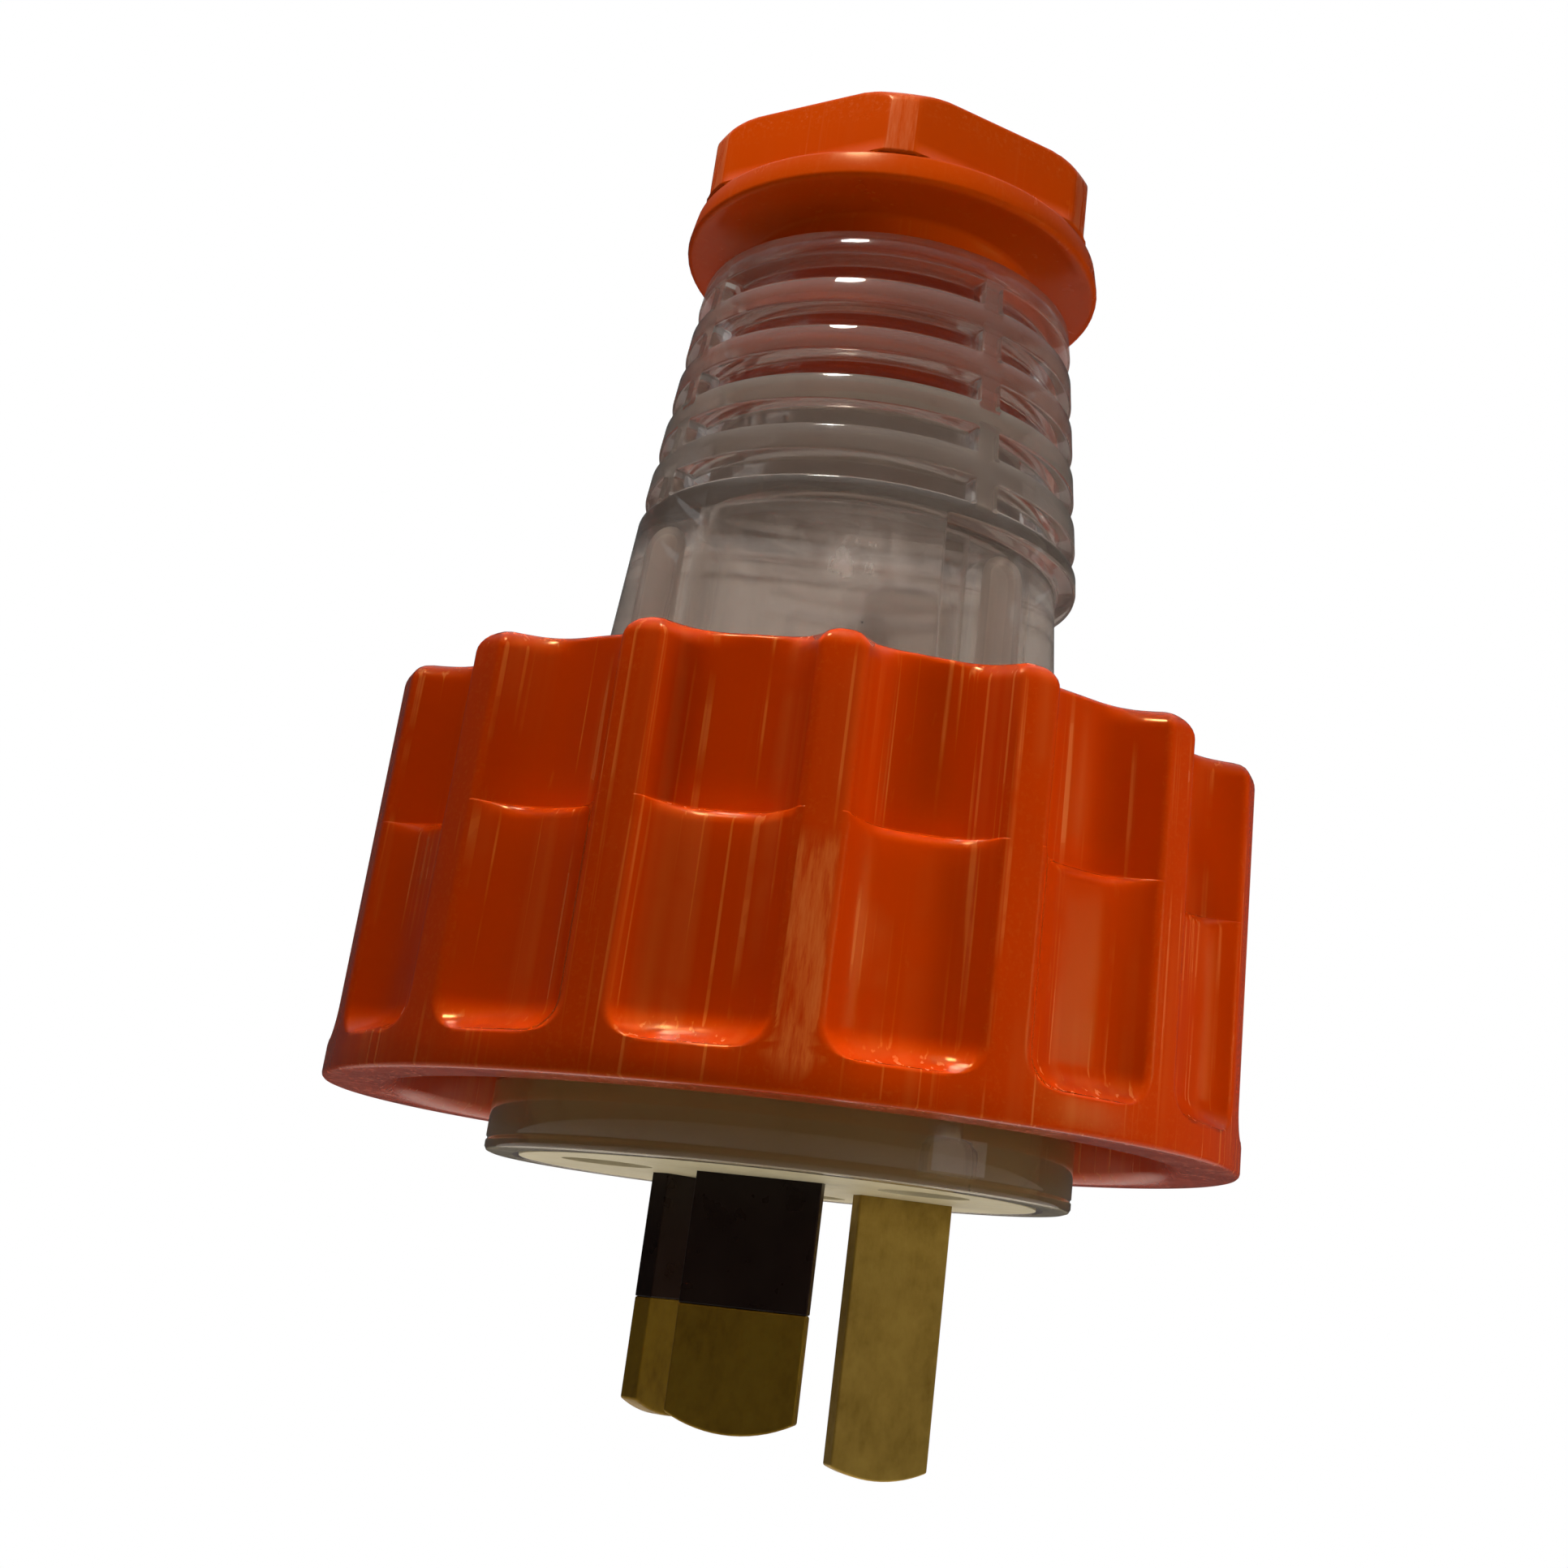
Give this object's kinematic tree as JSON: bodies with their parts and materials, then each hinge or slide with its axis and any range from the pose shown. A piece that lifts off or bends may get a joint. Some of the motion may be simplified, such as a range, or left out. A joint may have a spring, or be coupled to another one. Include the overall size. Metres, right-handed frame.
{
  "type": "waterproof plug",
  "caption": "Waterproof electrical plug with a clear ribbed body, fluted orange locking ring, hexagonal cable gland nut and flat brass pins in a cream carrier.",
  "frame": {"origin": "centre of the engagement face, where the pins leave the carrier", "axes": "+Z along the plug's axis towards the cable gland, pins point along -Z, earth pin on +X"},
  "size_m": [0.0684, 0.0682, 0.1052],
  "materials": {
    "clear_plastic": "clear polycarbonate, fine scratches",
    "orange_plastic": "glossy moulded orange plastic",
    "white_plastic": "plain moulded nylon",
    "grey_rubber": "soft grey rubber",
    "cream_plastic": "satin cream moulding",
    "black_rubber": "soft black rubber",
    "black_plastic": "smooth black insulation",
    "brass": "dull mottled brass",
    "steel": "zinc plated steel"
  },
  "bodies": {
    "body": {"clear_body": "clear_plastic", "pin_carrier": "cream_plastic", "carrier_seal": "black_rubber", "face_seal": "black_rubber", "active_pin": "brass", "neutral_pin": "brass", "earth_pin": "brass", "active_sleeve": "black_plastic", "neutral_sleeve": "black_plastic", "active_terminal": "brass", "neutral_terminal": "brass", "earth_terminal": "brass", "active_terminal_screw": "steel", "neutral_terminal_screw": "steel", "earth_terminal_screw": "steel", "carrier_screw_a": "steel", "carrier_screw_b": "steel", "carrier_screw_c": "steel", "gland_bush": "grey_rubber"},
    "ring": {"locking_ring": "orange_plastic"},
    "slip": {"gland_washer": "white_plastic"},
    "nut": {"gland_nut": "orange_plastic"}
  },
  "joints": [
    {"name": "ring_turn", "type": "hinge", "parent": "body", "child": "ring", "pos_m": [0, 0, 0.0315], "axis": [0, 0, 1], "continuous": true},
    {"name": "washer_slide", "type": "slide", "parent": "body", "child": "slip", "axis": [0, 0, 1], "range_m": [-0.00201, 0.00401], "deforming": ["gland_bush"]},
    {"name": "nut_turn", "type": "hinge", "parent": "slip", "child": "nut", "pos_m": [0, 0, 0.08], "axis": [0, 0, 1], "range_deg": [-360, 720]}
  ],
  "couplings": [
    {"joint": "washer_slide", "follows": "nut_turn", "m_per_rad": 0.00031831}
  ]
}
